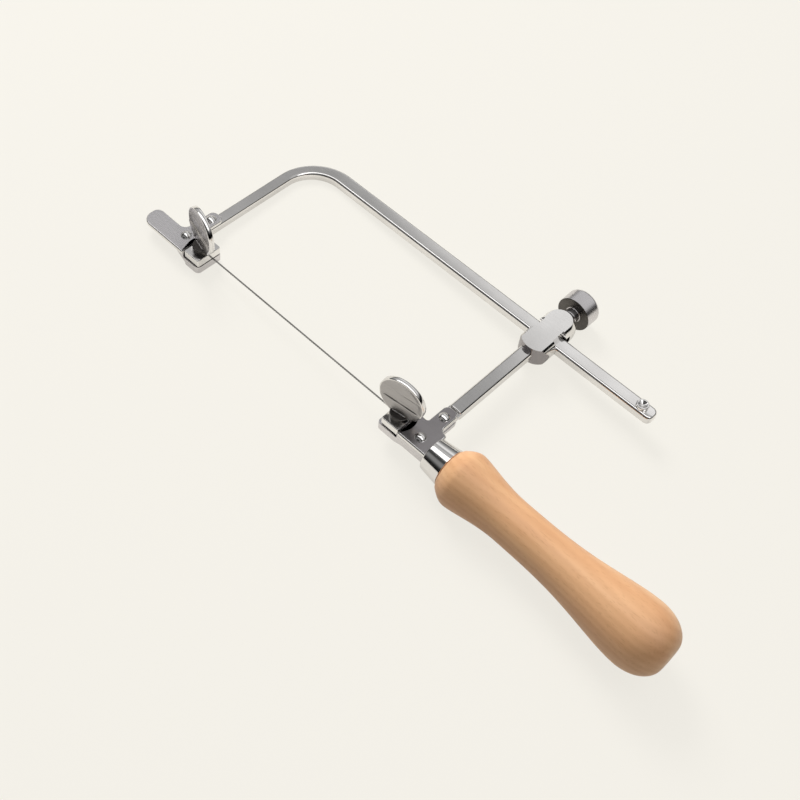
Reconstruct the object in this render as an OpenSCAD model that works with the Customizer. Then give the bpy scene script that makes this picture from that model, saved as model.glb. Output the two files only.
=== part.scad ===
// Adjustable fret saw: a bent bow slides in a block above the handle, and two riveted clamps hold the blade.
// The origin is on the blade's middle line, where the blade leaves the handle-side jaws.
// X runs from the nose to the handle, Y from the blade to the spine, Z up out of the frame's plane.

/* [Blade] */
// Length of the saw blade
blade_length = 130; // [118:1:140]
// Free length of blade between the two clamps
blade_span = 106; // [92:1:112]
// Width of the blade over its teeth
blade_width = 0.7; // [0.5:0.05:0.9]
// Thickness of the blade
blade_thickness = 0.35; // [0.25:0.05:0.5]
// Distance from one tooth to the next
tooth_pitch = 1.1; // [1:0.05:2.5]
// Depth of a tooth
tooth_depth = 0.22; // [0.1:0.01:0.3]

/* [Bow] */
// Distance from the blade to the spine
throat_depth = 70; // [55:1:110]
// Width of the spine
spine_width = 7; // [6:0.1:8.5]
// Width of the front arm
arm_width = 5.4; // [4.4:0.1:6.4]
// Thickness of the bow's bar
bar_thickness = 4; // [3:0.1:5]
// Radius of the bend on the throat side
bend_inner_radius = 15; // [8:0.5:20]
// Radius of the bend on the outside
bend_outer_radius = 22; // [14:0.5:28]
// Distance from the slider block's middle to the stop pin
spine_reserve = 50; // [30:1:70]
// Distance from the stop pin to the spine's end
pin_to_end = 6.4; // [4.5:0.1:9]
// Radius of the rounded corners at the spine's end
spine_end_corner = 2.6; // [1:0.1:3]
// Radius of the stop pin's head
pin_head_radius = 2.7; // [2:0.1:3]
// Height of the stop pin's head
pin_head_height = 1.5; // [0.8:0.1:2.5]
// Width of the ring on the stop pin's head
pin_rim = 0.8; // [0.4:0.1:1.2]
// Depth of the dimple inside the ring
pin_dimple = 0.4; // [0.2:0.1:0.7]
// Radius of the stop pin's shank
pin_shank_radius = 1.5; // [1:0.1:1.8]

/* [Rear arm] */
// Width of the rear arm along the blade
rear_arm_width = 6.4; // [5.4:0.1:7]
// Thickness of the rear arm across the frame
rear_arm_thickness = 5.6; // [4.6:0.1:6.4]
// Radius of the rear arm's long corners
rear_arm_corner = 1.9; // [0.8:0.1:2.2]

/* [Blade clamps] */
// Length of the jaws along the blade
jaw_length = 8.6; // [7.6:0.1:9.6]
// Jaw width from the blade towards the spine
jaw_inner = 4.4; // [3:0.1:6]
// Jaw width from the blade to the outer edge
jaw_outer = 8.5; // [7.8:0.1:10]
// How far the loose jaws stay back from the fixed jaws' outer edge
jaw_step = 0.5; // [0:0.1:1]
// Thickness of the fixed jaws under the blade
fixed_jaw_thickness = 3.5; // [2.6:0.1:3.7]
// Thickness of the fixed jaws' tails
tail_thickness = 2.3; // [1.8:0.1:2.6]
// Length of the slope from a fixed jaw to its tail
tail_slope = 4; // [2:0.1:5]
// Thickness of the loose jaw
loose_jaw_thickness = 3.6; // [2.6:0.1:4.4]
// Thickness of the cover plates
cover_thickness = 1.7; // [1.2:0.1:2]
// Thickness of the flattened arm ends
tongue_thickness = 2; // [1.4:0.1:2.2]
// Radius of the hollow in the cover plates round the screws
cover_hollow = 6.4; // [5:0.1:7]
// Distance from the blade to the front clamp screw
front_screw_offset = 1.7; // [1.7:0.1:3.2]
// Distance from the blade to the rear clamp screw
rear_screw_offset = 2.2; // [1.7:0.1:3.2]
// Distance from the front jaws' face to the front arm's middle
front_setback = 14; // [12.5:0.1:18]
// How far the front rivets stand outside the front arm's middle
front_rivet_shift = 0.6; // [0:0.1:1]
// Distance from the rear jaws' face to the rear arm's middle
rear_setback = 16.6; // [14:0.1:18]
// How far the rear fixed jaw reaches in front of the loose one
rear_lip = 1.5; // [0:0.1:2.5]
// Half the width of the branches that hold the arms
branch_half = 3.4; // [2.9:0.1:3.6]
// Radius of the branches' round corners
branch_corner = 2.6; // [1:0.1:2.8]
// How far the front branch reaches past its rivet
front_reach = 4.5; // [3.4:0.1:6]
// How far the rear branch reaches past its rivet
rear_reach = 5.5; // [3.4:0.1:6]
// Distance from the blade to the outer side of the front jaw's tail
front_tail_width = 6; // [5:0.1:7]
// Distance between the two rivets of a clamp
rivet_spacing = 13.6; // [12.5:0.1:16]
// Distance from the blade to the front hub rivet
front_hub_offset = 1.6; // [1.6:0.1:3]
// Distance from the blade to the rear hub rivet
rear_hub_offset = 3.5; // [2.3:0.1:4.5]
// Radius of the rivets' shanks
rivet_radius = 1.1; // [0.8:0.1:1.2]
// Radius of the rivets' heads
rivet_head_radius = 2.35; // [1.8:0.05:2.6]
// Height of the rivets' heads
rivet_head_height = 1.3; // [0.8:0.1:1.6]

/* [Push tab] */
// Length of the push tab from the front rivets
tab_length = 20.2; // [16:0.1:30]
// Width of the push tab
tab_width = 9.5; // [9:0.1:11]
// Distance from the blade to the tab's middle
tab_offset = 4.4; // [3.6:0.1:5]
// Radius of the tab's end corner towards the spine
tab_inner_corner = 3.2; // [1:0.1:3.4]
// Radius of the tab's outer end corner
tab_outer_corner = 5; // [3.6:0.1:5.4]
// Radius of the hollow corner between tab and branch
tab_fillet = 3; // [1:0.1:4]

/* [Wing screws] */
// Radius of the clamp screws
screw_radius = 1.2; // [1:0.1:1.2]
// Radius of the wing's round leaf
leaf_radius = 10.3; // [8:0.1:10.6]
// Height of the leaf's middle above the loose jaw
leaf_rise = 11.2; // [10.8:0.1:14]
// Thickness of the leaf
leaf_thickness = 2.2; // [1.4:0.1:2.6]
// Thickness of the leaf's root
leaf_root_thickness = 3.2; // [2.6:0.1:4]
// Height of the root's ridge above the loose jaw
leaf_ridge = 8.7; // [6:0.1:10]
// Width of the leaf's foot in the collar
leaf_foot_width = 6; // [4:0.1:6.6]
// Height above the loose jaw at which the round leaf is cut off
leaf_base = 1.7; // [1.6:0.1:3]
// Width of the rim round the thumb hollow
leaf_rim = 1.5; // [0.8:0.1:3]
// Depth of the thumb hollow
leaf_hollow = 0.35; // [0.1:0.05:0.6]
// Radius of the collar under the leaf
collar_radius = 4.2; // [3.4:0.1:4.6]
// Height of the collar under the leaf
collar_height = 2.4; // [1.8:0.1:3]
// Direction of the front leaf, in degrees from the X axis
front_leaf_turn = 164; // [0:1:180]
// Direction of the rear leaf, in degrees from the X axis
rear_leaf_turn = 7; // [0:1:180]

/* [Slider block] */
// Radius of the slider block
block_radius = 7.5; // [6.6:0.1:9]
// Half the height between the block's flats
block_flat = 5.2; // [4.6:0.1:6]
// How far the block stands behind the rear arm's middle
block_shift = 0.6; // [0:0.1:1]
// Radius of the block's inner end, seen from above
nose_radius = 7.4; // [6.6:0.1:9]
// Solid length from the spine to the middle of the block's inner end
block_inner_wall = 2.6; // [2:0.1:9]
// Solid length from the slot to the middle of the block's outer end
block_outer_wall = 1.6; // [0.5:0.1:6]
// Half the length of the close-fitting part of the slot
mouth_wall = 4.9; // [3:0.1:5]
// Depth of the arm's socket in the block
socket_depth = 6; // [3:0.1:8]

/* [Lock] */
// Thickness of the pressure shoe
shoe_thickness = 1; // [0.8:0.1:2]
// How far the shoe can back off the spine
lock_travel = 1.3; // [0.6:0.1:2]
// Radius of the lock screw
lock_screw_radius = 2.2; // [1.6:0.1:2.6]
// Radius of the lock knob
knob_radius = 8.1; // [5:0.1:9]
// Length of the lock knob's head
knob_length = 8.4; // [5:0.1:10]
// Radius of the knob's rounded outer edge
knob_edge = 1.7; // [1:0.1:3.5]
// Radius of the knob's neck
knob_neck_radius = 3.3; // [3:0.1:4]
// Length of the knob's neck
knob_neck_length = 2.7; // [1.5:0.1:6]

/* [Handle] */
// Distance from the blade to the handle's axis at the ferrule
handle_offset = 3.7; // [3.4:0.1:5]
// Slope of the handle away from the spine, in degrees
handle_tilt = 1; // [0:0.1:2]
// Distance from the rear jaws' face to the ferrule
ferrule_start = 23.4; // [22.5:0.1:30]
// Length of the ferrule
ferrule_length = 9.2; // [7:0.1:14]
// Radius of the ferrule's front
ferrule_front_radius = 7.1; // [6.9:0.1:9]
// Radius of the ferrule where the wood starts
ferrule_back_radius = 8.3; // [8:0.1:9.5]
// Wall of the ferrule
ferrule_wall = 1; // [0.7:0.1:1.1]
// Length of the wooden handle behind the ferrule
handle_length = 105.5; // [90:0.5:130]
// Radius of the handle's bead
bead_radius = 12.3; // [10:0.1:14]
// Distance from the ferrule to the bead's top
bead_at = 7.4; // [4:0.1:10]
// Radius of the handle's waist
waist_radius = 9.3; // [8:0.1:12]
// Distance from the ferrule to the waist
waist_at = 31; // [24:0.5:42]
// Radius of the handle's butt
butt_radius = 14; // [11:0.1:16]
// Distance from the butt's widest place to the handle's end
butt_length = 14; // [10:0.5:20]
// Radius of the flat at the handle's end
butt_flat = 4.5; // [2:0.1:8]
// Length of the tang inside the wood
tang_length = 52; // [30:1:80]
// Length of the plates' tails inside the ferrule
plate_tail = 4.5; // [3:0.1:6]
// How far the wood stands proud of the ferrule
wood_step = 0.4; // [0.2:0.1:1]
// Width of the tang
tang_width = 5; // [4:0.1:7]

/* [Fits] */
// Running clearance round the screws
running_fit = 0.05; // [0.03:0.01:0.1]
// Clearance between pieces that are riveted or pressed together
seat_fit = 0.02; // [0.01:0.01:0.05]
// Clearance between the spine and its slot
slot_fit = 0.06; // [0.03:0.01:0.15]
// Clearance between the blade and the parts it runs past
blade_fit = 0.04; // [0.02:0.01:0.1]
// Side clearance of the channel that the blade's ends run in
channel_fit = 0.4; // [0.3:0.05:0.6]

// Gap between a loose jaw and the plates behind it
jaw_gap = 0.3; // [0.2:0.05:0.5]
// Gap between the rear arm's shoulder and the branch that holds it
shoulder_gap = 1; // [0.3:0.1:1.5]
// Gap round the plates' tails inside the ferrule
tail_gap = 0.15; // [0.1:0.05:0.3]

/* [Hidden] */
$fn = 64;
// Extra length that carries a cut clear through a solid
cut = 1;
// Places of the jaws and plates across the frame
bed_top = -blade_thickness / 2 - blade_fit;
bed_bottom = bed_top - fixed_jaw_thickness;
tongue_top = bed_top + tongue_thickness;
cover_top = tongue_top + cover_thickness;
tail_bottom = bed_top - tail_thickness;
front_cover_bottom = bar_thickness / 2;
front_cover_top = front_cover_bottom + cover_thickness;
jaw_bottom = blade_thickness / 2 + blade_fit;
jaw_top = jaw_bottom + loose_jaw_thickness;
channel_half = blade_width / 2 + channel_fit;
plate_start = jaw_length + jaw_gap;
screw_place = jaw_length / 2;
// Places of the arms and rivets
front_rivet_place = rivet_spacing - front_hub_offset;
rear_rivet_place = rivet_spacing - rear_hub_offset;
rear_shoulder = rear_rivet_place + rear_reach + shoulder_gap;
front_arm_x = -blade_span - front_setback;
front_rivet_set = front_setback + front_rivet_shift;
front_rivet_x = -blade_span - front_rivet_set;
front_tail_end = front_rivet_set + rivet_head_radius + jaw_gap;
tab_low = -tab_offset - tab_width / 2;
tab_high = tab_low + tab_width;
// Places along the spine
spine_outer = throat_depth + spine_width;
pin_x = rear_setback + spine_reserve;
spine_end = pin_x + pin_to_end;
spine_middle = throat_depth + spine_width / 2;
// Places in the slider block
slot_low = throat_depth - slot_fit;
shoe_place = spine_outer + slot_fit;
slot_high = shoe_place + shoe_thickness + lock_travel + slot_fit;
block_x = rear_setback + block_shift;
block_inner = throat_depth - block_inner_wall;
block_tip = block_inner - nose_radius;
block_outer = slot_high + block_outer_wall;
block_end = block_outer + block_radius;
slot_half = bar_thickness / 2 + slot_fit;
arm_top = block_tip + socket_depth;
knob_seat = block_end + knob_neck_length + knob_length / 2;
// Places in the handle
ferrule_end = ferrule_start + ferrule_length;
ferrule_bore = ferrule_front_radius - ferrule_wall;
tail_half = sqrt(pow(ferrule_bore - tail_gap, 2) - pow(cover_top, 2));
spigot_start = ferrule_start + plate_tail + 2 * tail_gap;
butt_at = handle_length - butt_length;
// How early the bead falls to the waist and how late the butt swells
bead_fall = 0.75;
butt_swell = 1.7;
profile_steps = 12;

// Places a shape drawn in a clamp's own coordinates, away from the blade, at the front clamp
module at_front() translate([-blade_span, 0, 0]) mirror([1, 0, 0]) children();

// Places a shape drawn along the X axis on the handle's own axis
module at_handle() translate([ferrule_start, -handle_offset, 0]) rotate([0, 0, -handle_tilt])
    translate([-ferrule_start, 0, 0]) children();

// A flat plate from one height to another
module plate(low, high) translate([0, 0, low]) linear_extrude(high - low) children();

// A round hole through a clamp
module drill(x, y, radius) translate([x, y, bed_bottom - cut])
    cylinder(r = radius, h = cover_top - bed_bottom + 2 * cut);

// A revolved shape turned to run along X
module along_x(start) translate([start, 0, 0]) rotate([0, 90, 0]) rotate_extrude() children();

// A revolved shape turned to run along Y
module along_y(x, start) translate([x, start, 0]) rotate([-90, 0, 0]) rotate_extrude() children();

// A rectangle between two corners
module box_2d(low, high) translate(low) square(high - low);

// A rectangle with round corners about the origin
module round_box_2d(size, corner) {
    square([size[0] - 2 * corner, size[1]], center = true);
    square([size[0], size[1] - 2 * corner], center = true);
    for (x = [-1, 1], y = [-1, 1])
        translate([x * (size[0] / 2 - corner), y * (size[1] / 2 - corner)]) circle(corner);
}

// The branch of a plate from the hub rivet past the arm rivet, with round corners
module branch_2d(setback, hub_offset, reach) {
    end = rivet_spacing - hub_offset + reach;
    flat = branch_half - branch_corner;
    box_2d([setback - branch_half, -hub_offset], [setback + branch_half, end - branch_corner]);
    box_2d([setback - flat, end - 2 * branch_corner], [setback + flat, end]);
    for (x = [-flat, flat])
        translate([setback + x, end - branch_corner]) circle(branch_corner);
}

// Outline of the front cover plate with its push tab
module front_cover_2d() {
    tab_end = front_rivet_set + tab_length;
    branch_edge = front_rivet_set + branch_half;
    inner = tab_inner_corner;
    outer = tab_outer_corner;
    difference() {
        box_2d([plate_start, tab_low], [branch_edge, jaw_inner]);
        translate([screw_place, -front_screw_offset]) circle(cover_hollow);
    }
    branch_2d(front_rivet_set, front_hub_offset, front_reach);
    box_2d([branch_edge - cut, tab_low], [tab_end - outer, tab_high]);
    box_2d([tab_end - 2 * outer, tab_low + outer], [tab_end, tab_high - inner]);
    box_2d([tab_end - 2 * outer, tab_high - 2 * inner], [tab_end - inner, tab_high]);
    translate([tab_end - outer, tab_low + outer]) circle(outer);
    translate([tab_end - inner, tab_high - inner]) circle(inner);
    difference() {
        box_2d([branch_edge, tab_high], [branch_edge + tab_fillet, tab_high + tab_fillet]);
        translate([branch_edge + tab_fillet, tab_high + tab_fillet]) circle(tab_fillet);
    }
}

// Outline of the front fixed jaw, whose tail stays clear of the front arm
module front_jaw_2d() {
    clear = front_setback - arm_width / 2 - jaw_gap;
    polygon([[0, -jaw_outer], [plate_start - cut, -jaw_outer], [clear, -front_tail_width],
             [front_tail_end, -front_tail_width], [front_tail_end, channel_half - seat_fit],
             [clear, channel_half - seat_fit], [clear, jaw_inner], [0, jaw_inner]]);
}

// Outline of the rear plates from the jaws into the ferrule
module rear_plate_2d(start) {
    shoulder = ferrule_start - ferrule_back_radius * sin(handle_tilt) - seat_fit;
    tail_end = ferrule_start + plate_tail;
    tail_low = -handle_offset - tail_half;
    tail_high = -handle_offset + tail_half;
    polygon([[start, -jaw_outer], [shoulder, tail_low], [tail_end, tail_low], [tail_end, tail_high],
             [shoulder, tail_high], [shoulder, jaw_inner], [start, jaw_inner]]);
    branch_2d(rear_setback, rear_hub_offset, rear_reach);
}

// What is taken off under a fixed jaw to leave its slope and its thinner tail
module under_tail() {
    start = plate_start - cut;
    end = ferrule_end + tang_length + cut;
    half = rivet_spacing + rear_reach;
    translate([0, half, 0]) rotate([90, 0, 0]) linear_extrude(2 * half)
        polygon([[start, bed_bottom - cut], [start, bed_bottom], [start + tail_slope, tail_bottom],
                 [end, tail_bottom], [end, bed_bottom - cut]]);
}

// The half of a plate on the outer side of the blade's channel
module outer_half_2d(start, end) intersection() {
    children();
    box_2d([start, -2 * jaw_outer], [end, -channel_half]);
}

// The domed head of a rivet, standing on the plane below it
module rivet_head() {
    dome = (pow(rivet_head_radius, 2) + pow(rivet_head_height, 2)) / (2 * rivet_head_height);
    intersection() {
        translate([0, 0, rivet_head_height - dome]) sphere(dome);
        cylinder(r = rivet_head_radius, h = rivet_head_height);
    }
}

// A rivet with round heads above and below the plates
module rivet(x, y, low, high) translate([x, y, 0]) {
    translate([0, 0, low]) cylinder(r = rivet_radius, h = high - low);
    translate([0, 0, high]) rivet_head();
    translate([0, 0, low]) mirror([0, 0, 1]) rivet_head();
}

// A loose jaw with its screw hole, drawn in a clamp's own coordinates
module loose_jaw(screw_offset) difference() {
    plate(jaw_bottom, jaw_top) box_2d([0, jaw_step - jaw_outer], [jaw_length, jaw_inner]);
    drill(screw_place, -screw_offset, screw_radius + running_fit);
}

// A wing screw: shank, and collar with a slot for the leaf
module wing_screw(x, y, turn) translate([x, y, 0]) difference() {
    union() {
        translate([0, 0, bed_bottom]) cylinder(r = screw_radius, h = jaw_top - bed_bottom);
        translate([0, 0, jaw_top]) cylinder(r = collar_radius, h = collar_height);
    }
    rotate([0, 0, turn])
        translate([-collar_radius - cut, -leaf_root_thickness / 2 - seat_fit, jaw_top + collar_height / 2])
            cube([2 * (collar_radius + cut), leaf_root_thickness + 2 * seat_fit, collar_height]);
}

// Outline of a wing's leaf above its foot
module leaf_2d() {
    foot = leaf_foot_width / 2;
    intersection() {
        translate([0, leaf_rise]) circle(leaf_radius);
        box_2d([-leaf_radius, leaf_base], [leaf_radius, leaf_rise + leaf_radius]);
    }
    box_2d([-foot, collar_height / 2], [foot, collar_height]);
}

// A wing's leaf: a round blade with a thumb hollow on each face and a thicker root
module wing_leaf(x, y, turn) translate([x, y, jaw_top]) rotate([90, 0, turn]) {
    difference() {
        translate([0, 0, -leaf_thickness / 2]) linear_extrude(leaf_thickness) leaf_2d();
        for (side = [-1, 1])
            translate([0, leaf_rise, side * leaf_thickness / 2])
                translate([0, 0, -leaf_hollow]) cylinder(r = leaf_radius - leaf_rim, h = 2 * leaf_hollow);
    }
    translate([0, 0, -leaf_root_thickness / 2]) linear_extrude(leaf_root_thickness) intersection() {
        leaf_2d();
        box_2d([-leaf_radius, 0], [leaf_radius, leaf_ridge]);
    }
}

// Outline of the bow: spine, bend and front arm
module bow_2d() {
    arm_out = front_arm_x - arm_width / 2;
    arm_in = front_arm_x + arm_width / 2;
    bend_middle = [arm_out + bend_outer_radius, spine_outer - bend_outer_radius];
    end_low = throat_depth + spine_end_corner;
    end_high = spine_outer - spine_end_corner;
    difference() {
        union() {
            box_2d([arm_out, channel_half], [arm_in, bend_middle[1]]);
            box_2d([bend_middle[0], throat_depth], [spine_end - spine_end_corner, spine_outer]);
            box_2d([spine_end - 2 * spine_end_corner, end_low], [spine_end, end_high]);
            for (y = [end_low, end_high])
                translate([spine_end - spine_end_corner, y]) circle(spine_end_corner);
            intersection() {
                translate(bend_middle) circle(bend_outer_radius);
                box_2d([arm_out, bend_middle[1]], [bend_middle[0], spine_outer]);
            }
        }
        bend_hollow_2d(arm_in);
    }
}

// What the bend leaves open on the throat side
module bend_hollow_2d(arm_in) {
    reach = 2 * (bend_outer_radius + bend_inner_radius);
    difference() {
        box_2d([arm_in, throat_depth - reach], [arm_in + reach, throat_depth]);
        difference() {
            box_2d([arm_in, throat_depth - bend_inner_radius], [arm_in + bend_inner_radius, throat_depth]);
            translate([arm_in + bend_inner_radius, throat_depth - bend_inner_radius])
                circle(bend_inner_radius);
        }
    }
}

// Part of the handle's profile: a radius for a share of the way from one place to the next
function round_rise(low, high, share) = low + (high - low) * sin(90 * share);
function smooth(low, high, share) = low + (high - low) * share * share * (3 - 2 * share);
function shares(first) = [for (i = [first:profile_steps]) i / profile_steps];

// Profile of the handle from the ferrule to the butt, as radius and distance
function handle_profile() = concat(
    [for (t = shares(0)) [round_rise(ferrule_back_radius + wood_step, bead_radius, t), bead_at * t]],
    [for (t = shares(1)) [smooth(bead_radius, waist_radius, pow(t, bead_fall)),
                          bead_at + (waist_at - bead_at) * t]],
    [for (t = shares(1)) [smooth(waist_radius, butt_radius, pow(t, butt_swell)),
                          waist_at + (butt_at - waist_at) * t]],
    [for (t = shares(1)) [butt_flat + (butt_radius - butt_flat) * cos(90 * t),
                          butt_at + butt_length * sin(90 * t)]]);

// The tang that runs from the rear plate into the wood
module tang(grow) {
    start = ferrule_start + plate_tail - cut;
    end = ferrule_end + tang_length;
    half = tang_width / 2;
    at_handle() plate(tail_bottom - grow, bed_top + grow)
        polygon([[start, -half - grow], [end + grow, -half / 2 - grow], [end + grow, half / 2 + grow],
                 [start, half + grow]]);
}

module handle() color("burlywood") difference() {
    at_handle() along_x(ferrule_end) {
        polygon(concat([[0, 0]], handle_profile(), [[0, handle_length]]));
        box_2d([0, spigot_start - ferrule_end], [ferrule_bore - seat_fit, cut]);
    }
    tang(seat_fit);
}

module ferrule() color("silver") at_handle() along_x(ferrule_start)
    polygon([[ferrule_bore, 0], [ferrule_front_radius - ferrule_wall / 2, 0],
             [ferrule_front_radius, ferrule_wall / 2], [ferrule_back_radius, ferrule_length],
             [ferrule_bore, ferrule_length]]);

module rear_fixed_jaw() color("gainsboro") difference() {
    union() {
        plate(bed_bottom, bed_top) rear_plate_2d(-rear_lip);
        plate(bed_bottom, tongue_top)
            outer_half_2d(plate_start, ferrule_start + plate_tail) rear_plate_2d(plate_start);
        tang(0);
    }
    under_tail();
    drill(screw_place, -rear_screw_offset, screw_radius + running_fit);
    drill(rear_setback, -rear_hub_offset, rivet_radius + seat_fit);
    drill(rear_setback, rear_rivet_place, rivet_radius + seat_fit);
}

module rear_cover_plate() color("gainsboro") difference() {
    plate(tongue_top, cover_top) rear_plate_2d(plate_start);
    drill(screw_place, -rear_screw_offset, cover_hollow);
    drill(rear_setback, -rear_hub_offset, rivet_radius + seat_fit);
    drill(rear_setback, rear_rivet_place, rivet_radius + seat_fit);
}

module rear_arm() color("silver") difference() {
    union() {
        translate([rear_setback, arm_top, 0]) rotate([90, 0, 0]) linear_extrude(arm_top - rear_shoulder)
            round_box_2d([rear_arm_width, rear_arm_thickness], rear_arm_corner);
        plate(bed_top, tongue_top)
            box_2d([rear_setback - rear_arm_width / 2, channel_half],
                   [rear_setback + rear_arm_width / 2, rear_shoulder + cut]);
    }
    drill(rear_setback, rear_rivet_place, rivet_radius + seat_fit);
}

module rear_arm_rivet() color("silver") rivet(rear_setback, rear_rivet_place, tail_bottom, cover_top);

module rear_hub_rivet() color("silver") rivet(rear_setback, -rear_hub_offset, tail_bottom, cover_top);

// The block as a round bar with two flats: its inner end is round from above, its outer end is a ball
module block_body() intersection() {
    reach = block_radius + cut;
    union() {
        translate([0, block_outer, 0]) sphere(block_radius);
        translate([0, block_tip, 0]) rotate([-90, 0, 0])
            cylinder(r = block_radius, h = block_outer - block_tip);
    }
    plate(-block_flat, block_flat) {
        box_2d([-reach, block_inner], [reach, block_outer + reach]);
        translate([0, block_inner]) circle(nose_radius);
    }
}

module slider_block() color("lightgrey") translate([block_x, 0, 0]) difference() {
    reach = block_radius + cut;
    block_body();
    plate(-slot_half, slot_half) box_2d([-reach, slot_low], [reach, slot_high]);
    for (side = [-1, 1])
        plate(-slot_half, block_flat + cut)
            box_2d([min(side * mouth_wall, side * reach), slot_low],
                   [max(side * mouth_wall, side * reach), shoe_place]);
    translate([0, shoe_place, 0]) rotate([-90, 0, 0])
        cylinder(r = lock_screw_radius + running_fit, h = block_end - shoe_place + cut);
    translate([-block_shift, arm_top, 0]) rotate([90, 0, 0]) linear_extrude(socket_depth + nose_radius)
        round_box_2d([rear_arm_width + 2 * seat_fit, rear_arm_thickness + 2 * seat_fit], rear_arm_corner);
}

// The blade: a thin strip whose teeth face away from the spine
module saw_blade() color("dimgrey") {
    grip = (blade_length - blade_span) / 2;
    tooth_count = floor((blade_span - 2 * tooth_pitch) / tooth_pitch);
    first = -blade_span / 2 - tooth_count * tooth_pitch / 2;
    back = blade_width / 2;
    plate(-blade_thickness / 2, blade_thickness / 2) polygon(concat(
        [[-blade_span - grip, back], [-blade_span - grip, -back]],
        [for (i = [0:tooth_count - 1], p = [0, 1])
            [first + (i + p) * tooth_pitch - p * tooth_pitch / 4, -back + p * tooth_depth]],
        [[first + tooth_count * tooth_pitch, -back], [grip, -back], [grip, back]]));
}

module rear_loose_jaw() color("silver") loose_jaw(rear_screw_offset);

module rear_wing_screw() color("grey") wing_screw(screw_place, -rear_screw_offset, rear_leaf_turn);

module rear_wing_leaf() color("darkgrey") wing_leaf(screw_place, -rear_screw_offset, rear_leaf_turn);

module pressure_shoe() color("dimgrey")
    translate([block_x - mouth_wall, shoe_place, -bar_thickness / 2])
        cube([2 * mouth_wall, shoe_thickness, bar_thickness]);

// The lock screw from the shoe into the knob
module lock_screw() color("grey")
    translate([block_x, shoe_place + shoe_thickness, 0]) rotate([-90, 0, 0])
        cylinder(r = lock_screw_radius, h = knob_seat - shoe_place - shoe_thickness);

module lock_knob() color("silver") difference() {
    along_y(block_x, block_end + seat_fit) {
        knob_end = knob_neck_length + knob_length;
        box_2d([0, 0], [knob_neck_radius, knob_end - knob_edge]);
        box_2d([0, knob_neck_length], [knob_radius, knob_end - knob_edge]);
        box_2d([0, knob_end - 2 * knob_edge], [knob_radius - knob_edge, knob_end]);
        intersection() {
            translate([knob_radius - knob_edge, knob_end - knob_edge]) circle(knob_edge);
            box_2d([0, 0], [knob_radius, knob_end]);
        }
    }
    translate([block_x, block_end - cut, 0]) rotate([-90, 0, 0])
        cylinder(r = lock_screw_radius + seat_fit, h = knob_seat - block_end + cut);
}

module bow_bar() color("silver") difference() {
    plate(-bar_thickness / 2, bar_thickness / 2) bow_2d();
    drill(front_rivet_x, front_rivet_place, rivet_radius + seat_fit);
    translate([pin_x, spine_middle, -bar_thickness])
        cylinder(r = pin_shank_radius + seat_fit, h = 2 * bar_thickness);
}

// The stop pin: a flat head with a turned ring, riveted through the spine
module stop_pin() color("silver") translate([pin_x, spine_middle, 0]) difference() {
    union() {
        translate([0, 0, -bar_thickness / 2]) cylinder(r = pin_shank_radius, h = bar_thickness);
        translate([0, 0, bar_thickness / 2]) cylinder(r = pin_head_radius, h = pin_head_height);
    }
    translate([0, 0, bar_thickness / 2 + pin_head_height - pin_dimple])
        cylinder(r = pin_head_radius - pin_rim, h = pin_head_height);
}

module front_fixed_jaw() color("gainsboro") difference() {
    at_front() difference() {
        union() {
            plate(bed_bottom, bed_top) front_jaw_2d();
            plate(bed_bottom, front_cover_bottom)
                outer_half_2d(plate_start, front_tail_end) front_jaw_2d();
        }
        under_tail();
    }
    drill(-blade_span - screw_place, -front_screw_offset, screw_radius + running_fit);
    drill(front_rivet_x, -front_hub_offset, rivet_radius + seat_fit);
}

module front_cover_plate() color("gainsboro") difference() {
    at_front() plate(front_cover_bottom, front_cover_top) front_cover_2d();
    drill(front_rivet_x, -front_hub_offset, rivet_radius + seat_fit);
    drill(front_rivet_x, front_rivet_place, rivet_radius + seat_fit);
}

module front_arm_rivet() color("silver")
    rivet(front_rivet_x, front_rivet_place, -bar_thickness / 2, front_cover_top);

module front_hub_rivet() color("silver")
    rivet(front_rivet_x, -front_hub_offset, tail_bottom, front_cover_top);

module front_loose_jaw() color("silver") at_front() loose_jaw(front_screw_offset);

module front_wing_screw() color("grey")
    wing_screw(-blade_span - screw_place, -front_screw_offset, front_leaf_turn);

module front_wing_leaf() color("darkgrey")
    wing_leaf(-blade_span - screw_place, -front_screw_offset, front_leaf_turn);

handle();
ferrule();
rear_fixed_jaw();
rear_cover_plate();
rear_arm();
rear_arm_rivet();
rear_hub_rivet();
slider_block();
saw_blade();
rear_loose_jaw();
rear_wing_screw();
rear_wing_leaf();
pressure_shoe();
lock_screw();
lock_knob();
bow_bar();
stop_pin();
front_fixed_jaw();
front_cover_plate();
front_arm_rivet();
front_hub_rivet();
front_loose_jaw();
front_wing_screw();
front_wing_leaf();
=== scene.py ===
"""Fret saw with a sliding bow, two blade clamps and a turned handle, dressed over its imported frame.

Lengths in the pieces are millimetres in the frame's own axes; piece() turns them into metres.
"""
import math

import bmesh
import bpy
from mathutils import Matrix, Vector


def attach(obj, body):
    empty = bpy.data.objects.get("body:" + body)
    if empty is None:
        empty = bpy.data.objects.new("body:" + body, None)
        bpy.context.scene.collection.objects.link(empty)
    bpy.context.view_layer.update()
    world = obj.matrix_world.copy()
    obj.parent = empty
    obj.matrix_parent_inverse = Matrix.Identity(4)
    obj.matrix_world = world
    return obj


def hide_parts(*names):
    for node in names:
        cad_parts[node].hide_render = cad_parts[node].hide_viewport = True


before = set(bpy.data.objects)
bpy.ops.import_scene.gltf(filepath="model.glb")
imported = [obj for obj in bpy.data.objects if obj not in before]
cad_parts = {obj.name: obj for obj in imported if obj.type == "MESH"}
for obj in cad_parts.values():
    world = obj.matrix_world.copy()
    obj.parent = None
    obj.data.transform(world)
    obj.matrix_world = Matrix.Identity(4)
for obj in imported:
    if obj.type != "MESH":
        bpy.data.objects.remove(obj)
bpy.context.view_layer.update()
scene = bpy.context.scene
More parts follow.
